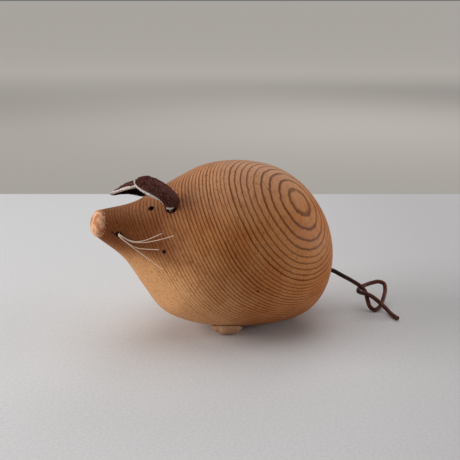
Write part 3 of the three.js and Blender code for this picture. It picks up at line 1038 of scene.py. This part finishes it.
def bristleMaterial():
    material, tree, shader, coords = startMaterial("bristle", 0.4)
    shade = noise(tree, coords, whisker["patches"], 2)
    colour = mixColour(tree, smoothRange(tree, shade, 0.3, 0.7), whisker["pale"], whisker["shaded"])
    tree.links.new(colour, shader.inputs["Base Color"])
    addBump(tree, shader, noise(tree, coords, whisker["grain"], 2), 0.2, 0.00005)
    return material


def makeWhisker(name, node, side, index, material):
    hole = holes["whisker"]
    mouth = skinPoint(hole["along"], hole["turn"], 0, side)
    outward = skinNormal(hole["along"], hole["turn"], side)
    upwards = noseward.cross(outward).normalized() * side
    middle = (len(whisker["routes"]) - 1) / 2
    root = mouth + upwards * ((middle - index) * whisker["pitch"])
    inside = root + outward * (whisker["rootGap"] - hole["depth"])
    outside = root + outward * whisker["diameter"]
    free = [skinPoint(along, turn, lift * mm, side) for along, turn, lift in whisker["routes"][index]]
    line = smoothLine([list(place) for place in (inside, outside, *free)], whisker["steps"])
    radii = np.interp(np.linspace(0, 1, len(line)), whisker["taperAt"], whisker["taper"])
    piece = makeTube(name, line, whisker["diameter"], whisker["sides"], material, radii)
    settle(piece, "bristle", node)


bristle = bristleMaterial()
for sideName, sideSign in (("left", 1), ("right", -1)):
    for index in range(len(whisker["routes"])):
        number = index + 1
        makeWhisker(f"{sideName}Whisker{number}", f"whisker_{sideName}_{number}", sideSign, index, bristle)
print("whiskers made")

# Stage: a pale table top that ends behind the mouse, the darker room beyond, and soft light

stage = {
    "edge": 597 * mm,
    "reach": 3.0,
    "table": (0.745, 0.745, 0.755),
    # Painted shade: the table top turns darker towards the right, as the light falls off
    "tableRightShaded": (0.57, 0.56, 0.57),
    "room": (0.455, 0.43, 0.40),
    # Painted light: the room is lighter far off and glows further off
    "roomFarLit": (0.66, 0.622, 0.577),
    "tableShade": (-60 * mm, 160 * mm),
    "roomShade": (550 * mm, 1050 * mm),
    "roomGlow": (950 * mm, 1750 * mm),
    "glowStrength": 0.41,
    "weave": 900,
    "weaveShade": (0.2, 0.2, 0.2),
    "roomReach": 40,  # times the table's reach
    "drop": 1 * mm,
    "world": (1.0, 0.985, 0.965),
    "worldStrength": 0.18,
    "lightTarget": (0, 0, 0.03),
    "lightColour": (1.0, 0.99, 0.98),
}

# Each light's name, place, size and power
lights = [
    ("leftWindow", (-0.85, 0.22, 0.38), (0.6, 0.5), 6.3),
    ("backWindow", (0.50, 0.55, 0.50), (0.5, 0.4), 1.3),
    ("lowRight", (0.78, -0.26, 0.13), (0.3, 0.15), 2.6),
    ("ceiling", (0.0, 0.05, 0.95), (0.9, 0.9), 3.2),
]


# A flat's colour turns from the first to the second along a direction, between two distances. With glow,
# the second colour also glows: painted light from a flat that is no lamp
def stageMaterial(name, first, second, direction, low, high, glow=None):
    material, tree, shader, coords = startMaterial(name, 0.7, 0.2)
    far = calcVector(tree, "DOT_PRODUCT", coords, tuple(direction))
    if glow:
        shader.inputs["Emission Color"].default_value = (*second, 1.0)
        tree.links.new(smoothRange(tree, far, *glow), shader.inputs["Emission Strength"])
    colour = mixColour(tree, smoothRange(tree, far, low, high), first, second)
    weave = noise(tree, coords, stage["weave"], 2)
    colour = mixColour(tree, smoothRange(tree, weave, 0.3, 0.7, 0.0, 0.12), colour, stage["weaveShade"])
    tree.links.new(colour, shader.inputs["Base Color"])
    return material


def makeFlat(name, corners, material):
    mesh = bpy.data.meshes.new(name)
    mesh.from_pydata([tuple(corner) for corner in corners], [], [(0, 1, 2, 3)])
    mesh.materials.append(material)
    linkNew(name, mesh)


def makeStage():
    back = backDirection()
    towards = Vector((-back.x, -back.y, 0)).normalized()
    across = Vector((towards.y, -towards.x, 0))
    camera = Vector(view["place"]) * mm
    edge = Vector((camera.x, camera.y, 0)) + towards * stage["edge"]
    reach = stage["reach"]
    table = [
        edge - across * reach,
        edge - towards * reach - across * reach,
        edge - towards * reach + across * reach,
        edge + across * reach,
    ]
    # Painted shade across the table top, darker towards the right
    tableColours = stage["table"], stage["tableRightShaded"]
    makeFlat("tableTop", table, stageMaterial("tableTop", *tableColours, across, *stage["tableShade"]))
    low = Vector((0, 0, -stage["drop"]))
    far = stage["roomReach"] * reach
    room = [
        edge + (towards - across) * far + low,
        edge - (towards + across) * far + low,
        edge + (across - towards) * far + low,
        edge + (towards + across) * far + low,
    ]
    # Painted light on the room: lighter far off, with a glow further still
    start = camera.dot(towards)
    roomShade = [start + distance for distance in stage["roomShade"]]
    roomGlow = [start + distance for distance in stage["roomGlow"]] + [0.0, stage["glowStrength"]]
    roomColours = stage["room"], stage["roomFarLit"]
    makeFlat("room", room, stageMaterial("room", *roomColours, towards, *roomShade, roomGlow))


def makeLight(name, place, size, power):
    light = bpy.data.lights.new(name, "AREA")
    light.shape = "RECTANGLE"
    light.size, light.size_y = size
    light.energy = power
    light.color = stage["lightColour"]
    holder = linkNew(name, light)
    holder.location = place
    back = Vector(place) - Vector(stage["lightTarget"])
    holder.rotation_euler = back.to_track_quat("Z", "Y").to_euler()


def makeLights():
    bpy.context.scene.view_settings.view_transform = "Standard"
    world = bpy.data.worlds.new("room")
    bpy.context.scene.world = world
    world.use_nodes = True
    background = world.node_tree.nodes["Background"]
    background.inputs["Color"].default_value = (*stage["world"], 1.0)
    background.inputs["Strength"].default_value = stage["worldStrength"]
    for light in lights:
        makeLight(*light)


makeStage()
makeLights()
print("stage and lights made")
